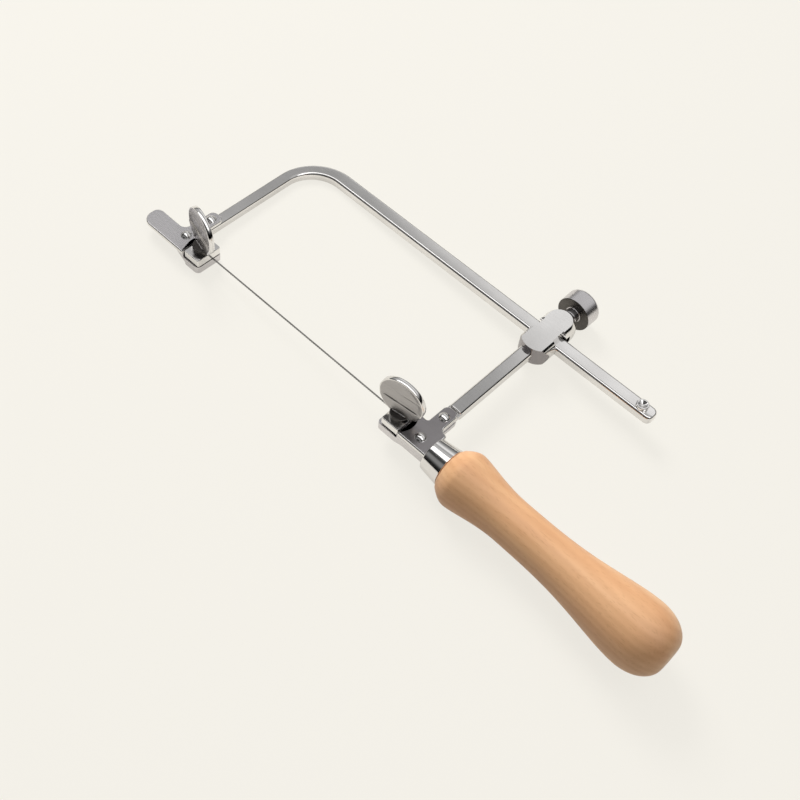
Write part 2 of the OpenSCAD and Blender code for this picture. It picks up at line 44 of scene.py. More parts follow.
scene.view_settings.view_transform = "Standard"

MM = 0.001

# Heights in the clamps: fixed jaw and its thinner tail, arm tongue, cover plates, loose jaw
BED_BOTTOM = -3.715
TAIL_BOTTOM = -2.515
BED_TOP = -0.215
TONGUE_TOP = 1.785
REAR_COVER_TOP = 3.485
BAR_TOP = 2.0
FRONT_COVER_TOP = 3.7
JAW_BOTTOM = 0.215
JAW_TOP = 3.815

# Both clamps: places from the blade's end outwards, then places across the blade
BLADE_SPAN = 106.0
SCREW_PLACE = 4.3
SLOPE_START = 7.9
SLOPE_END = 11.9
JAW_LENGTH = 8.6
PLATE_START = 8.9
SCREW_CLEARANCE = 6.4
BRANCH_HALF = 3.4
BRANCH_ROUND = 2.6
JAW_EDGE = -8.0
CLAMP_EDGE = -8.5
CLAMP_INNER = 4.4
PACKING_INNER = -0.75
ARM_FOOT = 0.75

# Rear clamp
REAR_ARM = 16.6
REAR_SCREW = -2.2
REAR_ARM_RIVET = 10.1
REAR_HUB_RIVET = -3.5
REAR_BRANCH_END = 15.6
BED_START = -1.5
TANG_SHOULDER = 23.23
TANG_END = 27.9
TANG_EDGE = -8.52
TANG_INNER = 1.12

# Front clamp with its push tab
FRONT_SETBACK = 14.6
FRONT_RIVETS = -BLADE_SPAN - FRONT_SETBACK
FRONT_SCREW = -1.7
FRONT_ARM_RIVET = 12.0
FRONT_HUB_RIVET = -1.6
FRONT_BRANCH_END = 16.5
TAB_END = 34.79
TAB_EDGE = -9.15
TAB_INNER = 0.35
TAIL_START = 11.0
TAIL_END = 17.25
TAIL_EDGE = -6.0
TAIL_INNER = 0.73
TAIL_PACKING_END = 17.0
WEDGE_START = 7.5
WEDGE_END = 14.4
WEDGE_LOW = -2.9
WEDGE_INNER = 5.4

# Rivets, and wing screws with their leaves
RIVET_HEAD = 2.35
RIVET_RISE = 1.3
RIVET_SHANK = 1.1
SCREW_BORE = 1.25
SHANK_RADIUS = 1.2
THREAD_DEPTH = 0.25
THREAD_PITCH = 0.7
COLLAR_RADIUS = 4.2
COLLAR_HEIGHT = 2.4
LEAF_RADIUS = 10.29
LEAF_RISE = 11.2
LEAF_BASE = 1.7
LEAF_RIDGE = 8.7
LEAF_CREASE = 14.6
LEAF_RIM = 0.5
ROOT_HALF = 3.0
ROOT_THICKNESS = 3.1
REAR_LEAF_DEGREES = 7
FRONT_LEAF_DEGREES = 164

# Bow and its stop pin
SPINE_INNER = 70.0
SPINE_OUTER = 77.0
SPINE_LINE = (SPINE_INNER + SPINE_OUTER) / 2
SPINE_END = 73.0
FRONT_ARM_OUTER = -122.7
FRONT_ARM_INNER = -117.3
BEND_INNER = 15.0
BEND_OUTER = 22.0
PIN_PLACE = 66.6
PIN_HOLE = 1.55
PIN_SHANK = 1.5
PIN_HEAD = 2.7
PIN_TOP = 3.5
PIN_DISH = 2.5

# Rear arm, slider block and lock knob
ARM_START = 16.6
ARM_TOP = 66.0
ARM_HALF_WIDTH = 3.2
ARM_HALF_THICKNESS = 2.8
ARM_CORNER = 1.9
TONGUE_HALF = 3.15
TONGUE_END = 17.6
BLOCK_PLACE = 17.2
BLOCK_START = 59.0
BLOCK_INNER = 67.4
BLOCK_OUTER = 81.02
BLOCK_RADIUS = 7.5
BLOCK_FLAT = 5.2
FLATS_END = 92.0
NOSE_HALF = 7.6
NOSE_DEPTH = 7.4
NOSE_FOOT = 2.2
NOSE_SHADE_END = 69.0
SLOT_FIT = 0.06
SEAT_FIT = 0.02
POCKET_END = 79.42
MOUTH_WALL = 4.9
MOUTH_TOP = 7.0
CUTTER_REACH = 9.0
KNOB_START = 88.54
KNOB_NECK = 3.3
KNOB_FACE = 2.85
KNOB_INNER_RADIUS = 7.9
KNOB_OUTER_RADIUS = 8.1
KNOB_LENGTH = 11.09

# Handle and ferrule, along the handle's own line
HANDLE_LINE = -3.7
HANDLE_TILT = math.radians(-1.0)
HANDLE_LENGTH = 105.5
NECK_RADIUS = 8.7
BEAD_PLACE = 7.4
BEAD_RADIUS = 12.3
WAIST_PLACE = 31.0
WAIST_RADIUS = 9.3
BELLY_RADIUS = 13.99
BUTT_LENGTH = 14.0
BUTT_PLACE = HANDLE_LENGTH - BUTT_LENGTH
BUTT_RADIUS = 4.5
GROOVE_RADIUS = 7.4
FERRULE_START = 23.4
FERRULE_LENGTH = 9.2
FERRULE_BORE = 6.1
FERRULE_FRONT = 7.1
FERRULE_BACK = 8.3


def linear(colour):
    """An sRGB hex colour as linear red, green, blue and alpha."""
    parts = [int(colour[i:i + 2], 16) / 255 for i in (1, 3, 5)]
    return tuple(c / 12.92 if c <= 0.04045 else ((c + 0.055) / 1.055) ** 2.4 for c in parts) + (1.0,)


def add(tree, kind, settings=None, links=None, **options):
    """A node with its options, socket settings and the outputs that are linked into it."""
    node = tree.nodes.new(kind)
    for name, value in options.items():
        setattr(node, name, value)
    for socket, value in (settings or {}).items():
        node.inputs[socket].default_value = value
    for socket, source in (links or {}).items():
        tree.links.new(source, node.inputs[socket])
    return node


def set_stops(ramp, stops):
    """Puts stops of place and colour on a colour ramp."""
    band = ramp.color_ramp
    while len(band.elements) < len(stops):
        band.elements.new(1.0)
    for element, (place, colour) in zip(band.elements, stops):
        element.position = place
        element.color = colour
    return ramp


def finish(name, **sockets):
    """A new material with its shader, whose constant sockets are set here."""
    material = bpy.data.materials.new(name)
    material.use_nodes = True
    tree = material.node_tree
    shader = tree.nodes["Principled BSDF"]
    for socket, value in sockets.items():
        shader.inputs[socket.replace("_", " ")].default_value = value
    return material, tree, shader


def per_mm(*sizes):
    """Pattern scales that give one step for each of these sizes in millimetres."""
    return tuple(1000.0 / size for size in sizes)


def plated_metal(name, light, dark, smooth, rough, ripple, scratch):
    """Plated or bare steel: cloudy colour, uneven gloss, a soft ripple and fine wipe marks.

    The ripple is what the buffing wheel or the press leaves, about 9 mm from crest to crest. The wipe
    marks are really 0.05 mm wide and are drawn 0.4 mm wide so that they show.
    """
    cloud_scale, ripple_scale = per_mm(14, 9)
    material, tree, shader = finish(name, Metallic=1.0)
    place = add(tree, "ShaderNodeTexCoord").outputs["Object"]
    cloud = add(tree, "ShaderNodeTexNoise", {"Scale": cloud_scale, "Detail": 4.0}, {"Vector": place})
    colour = set_stops(add(tree, "ShaderNodeValToRGB", links={"Fac": cloud.outputs["Fac"]}),
                       [(0.35, linear(dark)), (0.65, linear(light))])
    along = add(tree, "ShaderNodeMapping", {"Scale": per_mm(9, 0.4, 0.4)}, {"Vector": place})
    wipe = add(tree, "ShaderNodeTexNoise", {"Scale": 1.0, "Detail": 3.0}, {"Vector": along.outputs["Vector"]})
    gloss = add(tree, "ShaderNodeMapRange",
                {"From Min": 0.3, "From Max": 0.7, "To Min": smooth, "To Max": rough},
                {"Value": wipe.outputs["Fac"]})
    swell = add(tree, "ShaderNodeTexNoise", {"Scale": ripple_scale, "Detail": 1.0}, {"Vector": place})
    soft = add(tree, "ShaderNodeBump", {"Strength": ripple, "Distance": 0.2 * MM},
               {"Height": swell.outputs["Fac"]})
    marks = add(tree, "ShaderNodeBump", {"Strength": scratch, "Distance": 0.02 * MM},
                {"Height": wipe.outputs["Fac"], "Normal": soft.outputs["Normal"]})
    for socket, source in (("Base Color", colour.outputs["Color"]), ("Roughness", gloss.outputs["Result"]),
                           ("Normal", marks.outputs["Normal"])):
        tree.links.new(source, shader.inputs[socket])
    return material


def turned_beech():
    """Beech turned on a lathe, sanded and given a thin satin varnish.

    Pale pinkish tan with faint growth layers about 2.6 mm apart, which run along the handle and close to
    rings on its butt, and short darker flecks of the rays, 3 mm long and 0.4 mm wide.
    """
    layer_gap = 2.6 * MM
    layer_wander = 3.2 * MM
    heart_place = (0.0, 34 * MM, 21 * MM)
    material, tree, shader = finish("turned_beech_satin_varnish", IOR=1.5, Coat_Weight=0.18,
                                    Coat_Roughness=0.3)
    place = add(tree, "ShaderNodeTexCoord").outputs["Object"]
    drift = add(tree, "ShaderNodeMapping", {"Scale": per_mm(60, 9, 9)}, {"Vector": place})
    wander = add(tree, "ShaderNodeTexNoise", {"Scale": 1.0, "Detail": 3.0},
                 {"Vector": drift.outputs["Vector"]})
    heart = add(tree, "ShaderNodeMapping", {"Location": heart_place, "Scale": (0.04, 1.0, 1.0)},
                {"Vector": place})
    ring = add(tree, "ShaderNodeVectorMath", links={0: heart.outputs["Vector"]}, operation="LENGTH")
    bent = add(tree, "ShaderNodeMath", {1: layer_wander},
               {0: wander.outputs["Fac"], 2: ring.outputs["Value"]}, operation="MULTIPLY_ADD")
    layer = add(tree, "ShaderNodeMath", {1: 2 * math.pi / layer_gap}, {0: bent.outputs["Value"]},
                operation="MULTIPLY")
    wave = add(tree, "ShaderNodeMath", links={0: layer.outputs["Value"]}, operation="SINE")
    wood = set_stops(add(tree, "ShaderNodeValToRGB", links={"Fac": wander.outputs["Fac"]}),
                     [(0.3, linear("#DDA678")), (0.7, linear("#EBBB8C"))])
    layers = add(tree, "ShaderNodeMapRange",
                 {"From Min": -1.0, "From Max": 1.0, "To Min": 0.0, "To Max": 0.22},
                 {"Value": wave.outputs["Value"]})
    grain = add(tree, "ShaderNodeMix", {"B": linear("#CB8E63")},
                {"Factor": layers.outputs["Result"], "A": wood.outputs["Color"]}, data_type="RGBA")
    rays = add(tree, "ShaderNodeMapping", {"Scale": per_mm(3.2, 0.42, 0.42)}, {"Vector": place})
    fleck = add(tree, "ShaderNodeTexNoise", {"Scale": 1.0, "Detail": 2.0}, {"Vector": rays.outputs["Vector"]})
    few = add(tree, "ShaderNodeMapRange",
              {"From Min": 0.58, "From Max": 0.75, "To Min": 0.0, "To Max": 0.38},
              {"Value": fleck.outputs["Fac"]})
    colour = add(tree, "ShaderNodeMix", {"B": linear("#B57A50")},
                 {"Factor": few.outputs["Result"], "A": grain.outputs["Result"]}, data_type="RGBA")
    gloss = add(tree, "ShaderNodeMapRange",
                {"From Min": 0.3, "From Max": 0.7, "To Min": 0.42, "To Max": 0.54},
                {"Value": fleck.outputs["Fac"]})
    bump = add(tree, "ShaderNodeBump", {"Strength": 0.12, "Distance": 0.05 * MM},
               {"Height": fleck.outputs["Fac"]})
    for socket, source in (("Base Color", colour.outputs["Result"]), ("Roughness", gloss.outputs["Result"]),
                           ("Normal", bump.outputs["Normal"])):
        tree.links.new(source, shader.inputs[socket])
    return material


# Buffed nickel plate: a near mirror, so its shapes show as bright and black bands
NICKEL = plated_metal("nickel_plated_steel_buffed", "#EEECEA", "#E4E2E0", 0.09, 0.14, 0.02, 0.03)
# Nickel plate left satin by the press or the lathe: front cover, fixed jaws and knob read as an even grey
SATIN = plated_metal("nickel_plated_steel_stamped", "#DCD9DA", "#D4D1D2", 0.27, 0.28, 0.004, 0.0)
# Nickel plate over ground steel: bright and sharp, so the loose jaws mirror what stands over them
POLISHED = plated_metal("nickel_plated_steel_ground", "#F0EEEC", "#E6E4E2", 0.10, 0.16, 0.02, 0.04)
# Satin plate painted darker, as painted shade and painted dark reflection: the rear cover, under the rear
# leaf's shadow, and the block's nose where it faces down
SHADE_PAINTED_SATIN = plated_metal("nickel_plated_steel_shade_painted", "#A29E9F", "#989495", 0.28, 0.29, 0.004, 0.0)
# Bare screw steel: dull and dark, with a little light on its turned edges; on the lock knob's inner face its
# darkness is painted shade and painted dark reflection
SCREW_STEEL_AND_KNOB_SHADE = plated_metal("machine_screw_steel_and_knob_shade", "#6A6764", "#55524F", 0.28, 0.42, 0.10, 0.20)
# Nickel plate over a pressed leaf: thinner plate, warm grey and satin
LEAF_PLATE = plated_metal("nickel_plated_steel_pressed", "#B6B3B2", "#ACA9A8", 0.32, 0.34, 0.004, 0.0)
# Hardened spring steel: mid grey and half dull, from the grinding marks along it
SPRING_STEEL = plated_metal("hardened_spring_steel", "#9A9895", "#85837F", 0.30, 0.45, 0.05, 0.30)
BEECH = turned_beech()


def filleted(corners, steps=8, closed=True):
    """A path whose corners, each x, y and radius, are rounded off; an open path keeps its two ends."""
    path = []
    count = len(corners)
    for i, (x, y, radius) in enumerate(corners):
        here = Vector((x, y))
        if radius <= 0 or (not closed and i in (0, count - 1)):
            path.append((x, y))
            continue
        back = (Vector(corners[i - 1][:2]) - here).normalized()
        ahead = (Vector(corners[(i + 1) % count][:2]) - here).normalized()
        half = math.acos(max(-1.0, min(1.0, back.dot(ahead)))) / 2
        middle = here + (back + ahead).normalized() * (radius / math.sin(half))
        first = here + back * (radius / math.tan(half)) - middle
        sweep = math.copysign(math.pi - 2 * half, back.x * ahead.y - back.y * ahead.x)
        for step in range(steps + 1):
            turn = -sweep * step / steps
            path.append((middle.x + first.x * math.cos(turn) - first.y * math.sin(turn),
                         middle.y + first.x * math.sin(turn) + first.y * math.cos(turn)))
    return path


def left_handed(outline):
    """The outline in the order that keeps its inside on the left."""
    area = sum(a[0] * b[1] - b[0] * a[1] for a, b in zip(outline, outline[1:] + outline[:1]))
    return list(outline) if area > 0 else list(reversed(outline))


def shrunk(outline, inset):
    """The outline moved to its left by the same distance all round."""
    moved = []
    for i, point in enumerate(outline):
        here = Vector(point)
        back = (here - Vector(outline[i - 1])).normalized()
        ahead = (Vector(outline[(i + 1) % len(outline)]) - here).normalized()
        sides = Vector((-back.y - ahead.y, back.x + ahead.x))
        moved.append(here + sides * (inset / max(1 + back.dot(ahead), 0.3)))
    return moved


def circle(x, y, radius, around=40):
    """The outline of a round hole."""
    turns = [2 * math.pi * i / around for i in range(around)]
    return [(x + radius * math.cos(turn), y + radius * math.sin(turn)) for turn in turns]


def slab(bm, outline, low, high, edge=0.3, holes=(), place=Matrix(), foot=None, steps=4):
    """A plate cut to an outline, with its edges rounded over.

    foot is the lower edge's rounding where it differs from the upper one's.
    """
    def rounding(radius):
        turns = [math.pi / 2 * step / steps for step in range(steps + 1)] if radius else [math.pi / 2]
        return [(radius * (1 - math.cos(turn)), radius * (1 - math.sin(turn))) for turn in turns]
    levels = [(low + rise, inset) for rise, inset in rounding(edge if foot is None else foot)]
    levels += [(high - rise, inset) for rise, inset in reversed(rounding(edge))]
    rims = ([], [])
    loops = [left_handed(outline)] + [list(reversed(left_handed(hole))) for hole in holes]
    for loop in loops:
        rings = [[bm.verts.new(place @ Vector((p[0], p[1], height))) for p in shrunk(loop, inset)]
                 for height, inset in levels]
        for lower, upper in zip(rings, rings[1:]):
            for i in range(len(loop)):
                bm.faces.new((lower[i - 1], lower[i], upper[i], upper[i - 1]))
        for rim, ring in zip(rims, (rings[0], rings[-1])):
            rim.append(ring)
    for rim in rims:
        if len(rim) == 1:
            bm.faces.new(rim[0])
        else:
            edges = [bm.edges.get((ring[i - 1], ring[i])) for ring in rim for i in range(len(ring))]
            bmesh.ops.triangle_fill(bm, edges=edges, use_beauty=True)


def turned(bm, profile, place, closed=False, around=72):
    """A round piece turned from a profile of radius and height; place sets its axis."""
    rings = []
    for radius, height in profile:
        count = around if radius > 1e-6 else 1
        rings.append([bm.verts.new(place @ Vector((radius * math.cos(2 * math.pi * i / count),
                                                   radius * math.sin(2 * math.pi * i / count), height)))
                      for i in range(count)])
    for lower, upper in zip(rings, rings[1:] + (rings[:1] if closed else [])):
        for i in range(around):
            corners = [lower[i - 1] if len(lower) > 1 else lower[0]]
            corners += [lower[i]] if len(lower) > 1 else []
            corners += [upper[i]] if len(upper) > 1 else []
            corners += [upper[i - 1] if len(upper) > 1 else upper[0]]
            if len(corners) > 2:
                bm.faces.new(corners)


def on_handle(place):
    """Place that lays a piece's axis along the handle, at a distance behind the ferrule's front."""
    return (Matrix.Translation((FERRULE_START, HANDLE_LINE, 0)) @ Matrix.Rotation(HANDLE_TILT, 4, "Z")
            @ Matrix.Translation((place, 0, 0)) @ Matrix.Rotation(math.pi / 2, 4, "Y"))


def along_y(x, y):
    """Place that turns a piece's axis to run along Y."""
    return Matrix.Translation((x, y, 0)) @ Matrix.Rotation(-math.pi / 2, 4, "X")


def at_front(corners):
    """Corners drawn from the blade's end outwards, placed at the front clamp."""
    return [(-BLADE_SPAN - corner[0],) + tuple(corner[1:]) for corner in corners]


def at_rear(corners):
    """Corners drawn from the blade's end outwards, which at the rear clamp lie as they are drawn."""
    return list(corners)


def piece(name, bm, body, material, slot, *nodes, crease=40, edges=None):
    """A finished piece: smooth where it bends softly, riding on its body in place of its nodes.

    Its faces with index 1 take the finish of its edges.
    """
    bmesh.ops.recalc_face_normals(bm, faces=bm.faces)
    mesh = bpy.data.meshes.new(name)
    bm.to_mesh(mesh)
    bm.free()
    mesh.transform(Matrix.Scale(MM, 4))
    mesh.shade_smooth()
    mesh.set_sharp_from_angle(angle=math.radians(crease))
    mesh.materials.append(material)
    if edges:
        mesh.materials.append(edges)
    made = bpy.data.objects.new(name, mesh)
    scene.collection.objects.link(made)
    even = made.modifiers.new("even_faces", "WEIGHTED_NORMAL")
    even.keep_sharp = True
    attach(made, body)
    if nodes:
        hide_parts(*nodes)
    return made


def buffed_rim(bm):
    """Marks a plate's sides and rounded edges for the finish of its edges, and leaves its two flats."""
    bmesh.ops.recalc_face_normals(bm, faces=bm.faces)
    for face in bm.faces:
        face.material_index = 0 if abs(face.normal.z) > 0.95 else 1


def worked(blank, tools, edge):
    """A blank after the tools, each an operation and a solid, have been at it; its edges are then broken."""
    made = []
    for bm in [blank] + [solid for _, solid in tools]:
        bmesh.ops.recalc_face_normals(bm, faces=bm.faces)
        mesh = bpy.data.meshes.new("blank")
        bm.to_mesh(mesh)
        bm.free()
        made.append(bpy.data.objects.new("blank", mesh))
        scene.collection.objects.link(made[-1])
    for (operation, _), tool in zip(tools, made[1:]):
        cut = made[0].modifiers.new("cut", "BOOLEAN")
        cut.operation = operation
        cut.solver = "EXACT"
        cut.object = tool
    broken = made[0].modifiers.new("broken_edges", "BEVEL")
    broken.width = edge
    broken.segments = 3
    broken.limit_method = "ANGLE"
    broken.angle_limit = math.radians(32)
    bpy.context.view_layer.update()
    result = made[0].evaluated_get(bpy.context.evaluated_depsgraph_get()).to_mesh()
    out = bmesh.new()
    out.from_mesh(result)
    for tool in made:
        mesh = tool.data
        bpy.data.objects.remove(tool)
        bpy.data.meshes.remove(mesh)
    return out


def square_cutter(low, high):
    """A square-edged solid between two corners, for use as a tool."""
    bm = bmesh.new()
    outline = [(low[0], low[1]), (high[0], low[1]), (high[0], high[1]), (low[0], high[1])]
    slab(bm, outline, low[2], high[2], 0)
    return bm


def side_profile(outline, low, high):
    """A solid with an outline of x and z, between two distances towards the blade's near side, as a tool."""
    bm = bmesh.new()
    slab(bm, outline, low, high, 0, place=Matrix.Rotation(math.pi / 2, 4, "X"))
    return bm


def handle_radius(place):
    """Radius of the turned handle at a distance from the ferrule: bead, waist, belly and butt."""
    def swept(low, high, share):
        return low + (high - low) * share * share * (3 - 2 * share)
    if place <= BEAD_PLACE:
        return NECK_RADIUS + (BEAD_RADIUS - NECK_RADIUS) * math.sin(math.pi / 2 * place / BEAD_PLACE)
    if place <= WAIST_PLACE:
        return swept(BEAD_RADIUS, WAIST_RADIUS, ((place - BEAD_PLACE) / (WAIST_PLACE - BEAD_PLACE)) ** 0.75)
    if place <= BUTT_PLACE:
        return swept(WAIST_RADIUS, BELLY_RADIUS, ((place - WAIST_PLACE) / (BUTT_PLACE - WAIST_PLACE)) ** 1.7)
    share = min(1.0, (place - BUTT_PLACE) / BUTT_LENGTH)
    return BUTT_RADIUS + (BELLY_RADIUS - BUTT_RADIUS) * math.sqrt(1 - share * share)


def make_handle():
    """The turned handle, with a narrow dark groove where the wood meets the ferrule."""
    bm = bmesh.new()
    bead_steps, belly_steps, butt_steps = 14, 70, 20
    # The groove stands for the bead's first two steps
    places = [BEAD_PLACE * i / bead_steps for i in range(2, bead_steps + 1)]
    places += [BEAD_PLACE + (BUTT_PLACE - BEAD_PLACE) * i / belly_steps for i in range(1, belly_steps + 1)]
    places += [BUTT_PLACE + BUTT_LENGTH * math.sin(math.pi / 2 * i / butt_steps)
               for i in range(1, butt_steps + 1)]
    groove = [(0.0, 0.0), (GROOVE_RADIUS, 0.0), (GROOVE_RADIUS, 0.35), (NECK_RADIUS + 0.05, 0.5)]
    profile = groove + [(handle_radius(place), place) for place in places] + [(0.0, HANDLE_LENGTH)]
    turned(bm, profile, on_handle(FERRULE_LENGTH), around=96)
    piece("handle_turned", bm, "handle_frame", BEECH, "beech", "handle", crease=60)


def make_ferrule():
    """The spun ferrule, a little wider at the wood."""
    bm = bmesh.new()
    profile = filleted([(FERRULE_BORE, 0.0, 0.2), (FERRULE_FRONT, 0.0, 0.5),
                        (FERRULE_BACK, FERRULE_LENGTH, 0.25), (FERRULE_BORE, FERRULE_LENGTH, 0.2)])
    turned(bm, profile, on_handle(0.0), closed=True, around=96)
    piece("ferrule_spun", bm, "handle_frame", NICKEL, "plated_steel", "ferrule")


def hollow(screw):
    """The hollow that keeps a cover plate clear of the wing screw's collar, as plain corners."""
    across = math.sqrt(SCREW_CLEARANCE ** 2 - (PLATE_START - SCREW_PLACE) ** 2)
    reach = math.asin(across / SCREW_CLEARANCE)
    turns = [reach * (1 - i / 8) for i in range(17)]
    return [(SCREW_PLACE + SCREW_CLEARANCE * math.cos(turn), screw + SCREW_CLEARANCE * math.sin(turn), 0)
            for turn in turns]


def rear_plate(start, corner, opening):
    """Outline of the rear plates from the jaws into the ferrule, with the branch to the rear arm."""
    return filleted([(start, CLAMP_EDGE, corner), (TANG_SHOULDER, TANG_EDGE, 0), (TANG_END, TANG_EDGE, 0),
                     (TANG_END, TANG_INNER, 0), (TANG_SHOULDER, TANG_INNER, 0),
                     (TANG_SHOULDER, CLAMP_INNER, 0.8), (REAR_ARM + BRANCH_HALF, CLAMP_INNER, 2.3),
                     (REAR_ARM + BRANCH_HALF, REAR_BRANCH_END, BRANCH_ROUND),
                     (REAR_ARM - BRANCH_HALF, REAR_BRANCH_END, BRANCH_ROUND),
                     (REAR_ARM - BRANCH_HALF, CLAMP_INNER, 1.0), (start, CLAMP_INNER, 0.6)] + opening)


def front_plate():
    """Outline of the front cover plate with its push tab and its branch to the front arm."""
    return filleted(at_front(
        [(PLATE_START, CLAMP_INNER, 0.4)] + hollow(FRONT_SCREW)
        + [(PLATE_START, TAB_EDGE, 0.5), (TAB_END, TAB_EDGE, 5.0), (TAB_END, TAB_INNER, 3.2),
           (FRONT_SETBACK + BRANCH_HALF, TAB_INNER, 3.0),
           (FRONT_SETBACK + BRANCH_HALF, FRONT_BRANCH_END, BRANCH_ROUND),
           (FRONT_SETBACK - BRANCH_HALF, FRONT_BRANCH_END, BRANCH_ROUND),
           (FRONT_SETBACK - BRANCH_HALF, CLAMP_INNER, 0.8)]), steps=12)


def loose_jaw(side, corner, place, screw_x, screw_y):
    """The jaw that the wing screw presses on the blade: a small polished block with crisp edges."""
    bm = bmesh.new()
    outline = [(0, JAW_EDGE, corner), (JAW_LENGTH, JAW_EDGE, 0.4), (JAW_LENGTH, CLAMP_INNER, 0.4),
               (0, CLAMP_INNER, corner)]
    slab(bm, filleted(place(outline)), JAW_BOTTOM, JAW_TOP, 0.28, [circle(screw_x, screw_y, SCREW_BORE)])
    piece(side + "_jaw_loose", bm, side + "_jaw", POLISHED, "satin_plate", side + "_loose_jaw")


def fixed_jaw(side, outline, packing, packing_top, body, place, wedges=()):
    """The jaw under the blade: thick at the blade's end, sloping to a thinner tail, its packing on top."""
    fixed = bmesh.new()
    slab(fixed, outline, BED_BOTTOM, BED_TOP, 0)
    filling = bmesh.new()
    slab(filling, packing, BED_BOTTOM + 0.5, packing_top, 0)
    below, beyond, across = BED_BOTTOM - 1, 40, 30
    under = [(SLOPE_START, below), (SLOPE_START, BED_BOTTOM), (SLOPE_END, TAIL_BOTTOM),
             (beyond, TAIL_BOTTOM), (beyond, below)]
    tools = [("UNION", filling), ("DIFFERENCE", side_profile(place(under), -across, across))]
    tools += [("UNION", wedge) for wedge in wedges]
    piece(side + "_jaw_bed", worked(fixed, tools, 0.35), body, SATIN, "satin_plate", side + "_fixed_jaw")


def make_rear_clamp():
    """The handle's clamp: fixed jaw with its tang, cover plate painted darker as painted shade, and loose
    jaw.
    """
    packing = [(PLATE_START, CLAMP_EDGE), (TANG_END, CLAMP_EDGE), (TANG_END, PACKING_INNER),
               (PLATE_START, PACKING_INNER)]
    fixed_jaw("rear", rear_plate(BED_START, 1.8, []), packing, TONGUE_TOP, "handle_frame", at_rear)
    cover = bmesh.new()
    slab(cover, rear_plate(PLATE_START, 0.5, hollow(REAR_SCREW)), TONGUE_TOP, REAR_COVER_TOP, 0.75,
         foot=0.2, steps=6)
    buffed_rim(cover)
    # Painted shade: the cover's flats take the darker satin for the leaf's shadow and the dark reflection on
    # them; the rim stays buffed nickel
    piece("rear_cover", cover, "handle_frame", SHADE_PAINTED_SATIN, "satin_plate", "rear_cover_plate", edges=NICKEL)
    loose_jaw("rear", 0.5, at_rear, SCREW_PLACE, REAR_SCREW)


def make_front_clamp():
    """The bow's clamp: fixed jaw with a small wedge, cover plate with the push tab, and loose jaw."""
    outline = filleted(at_front([(0, CLAMP_EDGE, 2.0), (SLOPE_START, CLAMP_EDGE, 1.5),
                                 (TAIL_START, TAIL_EDGE, 1.5), (TAIL_END, TAIL_EDGE, 0.6),
                                 (TAIL_END, TAIL_INNER, 0.4), (TAIL_START, TAIL_INNER, 0.3),
                                 (TAIL_START, CLAMP_INNER, 0.6), (0, CLAMP_INNER, 0.6)]))
    packing = at_front([(PLATE_START, TAIL_EDGE), (TAIL_PACKING_END, TAIL_EDGE),
                        (TAIL_PACKING_END, PACKING_INNER), (PLATE_START, PACKING_INNER)])
    wedge = at_front([(WEDGE_START, WEDGE_LOW), (WEDGE_START, BED_TOP), (PLATE_START, BED_TOP),
                      (PLATE_START, BAR_TOP), (WEDGE_END, BAR_TOP)])
    fixed_jaw("front", outline, packing, BAR_TOP, "bow", at_front,
              [side_profile(wedge, WEDGE_INNER, -CLAMP_EDGE)])
    cover = bmesh.new()
    slab(cover, front_plate(), BAR_TOP, FRONT_COVER_TOP, 0.6, foot=0.2, steps=6)
    buffed_rim(cover)
    piece("front_cover", cover, "bow", SATIN, "satin_plate", "front_cover_plate", edges=NICKEL)
    loose_jaw("front", 0.7, at_front, -BLADE_SPAN - SCREW_PLACE, FRONT_SCREW)


def make_rivet(name, x, y, low, high, body):
    """A rivet with a domed head on each side of the plates."""
    bm = bmesh.new()
    steps = 14
    dome = (RIVET_HEAD ** 2 + RIVET_RISE ** 2) / (2 * RIVET_RISE)
    turns = [math.asin(RIVET_HEAD / dome) * i / steps for i in range(steps)]
    head = [(dome * math.sin(turn), RIVET_RISE - dome * (1 - math.cos(turn))) for turn in turns]
    head += [(RIVET_HEAD, 0.12), (RIVET_HEAD - 0.07, 0.0)]
    profile = [(r, high + h) for r, h in head] + [(RIVET_SHANK, high), (RIVET_SHANK, low)]
    profile += [(r, low - h) for r, h in reversed(head)]
    turned(bm, profile, Matrix.Translation((x, y, 0)), around=48)
    piece(name + "_domed", bm, body, NICKEL, "plated_steel", name)


def thread(bm, low, high, place, around):
    """A wing screw's thread with its crests on a helix, open at both ends."""
    rows = int((high - low) / THREAD_PITCH * 8)
    grid = []
    for row in range(rows + 1):
        height = low + (high - low) * row / rows
        ring = []
        for i in range(around):
            phase = (height / THREAD_PITCH - i / around) % 1.0
            out = SHANK_RADIUS - THREAD_DEPTH * (1 - abs(2 * phase - 1))
            turn = 2 * math.pi * i / around
            ring.append(bm.verts.new(place @ Vector((out * math.cos(turn), out * math.sin(turn), height))))
        grid.append(ring)
    for lower, upper in zip(grid, grid[1:]):
        for i in range(around):
            bm.faces.new((lower[i - 1], lower[i], upper[i], upper[i - 1]))


def make_wing_screw(side, x, y):
    """A wing screw: threaded shank with a turned point, and the collar that holds the leaf."""
    axis = Matrix.Translation((x, y, 0))
    around = 40
    collar_top = JAW_TOP + COLLAR_HEIGHT
    screw = bmesh.new()
    thread(screw, BED_BOTTOM + 0.3, JAW_TOP, axis, around)
    turned(screw, [(0, BED_BOTTOM), (0.75, BED_BOTTOM), (0.98, BED_BOTTOM + 0.35)], axis, around=around)
    collar = filleted([(0, JAW_TOP, 0), (COLLAR_RADIUS, JAW_TOP, 0.2), (COLLAR_RADIUS, collar_top, 0.4),
                       (0, collar_top, 0)], closed=False)
    turned(screw, collar, axis, around=64)
    piece(side + "_wing_shank", screw, side + "_wing", SCREW_STEEL_AND_KNOB_SHADE, "dark_steel", side + "_wing_screw")


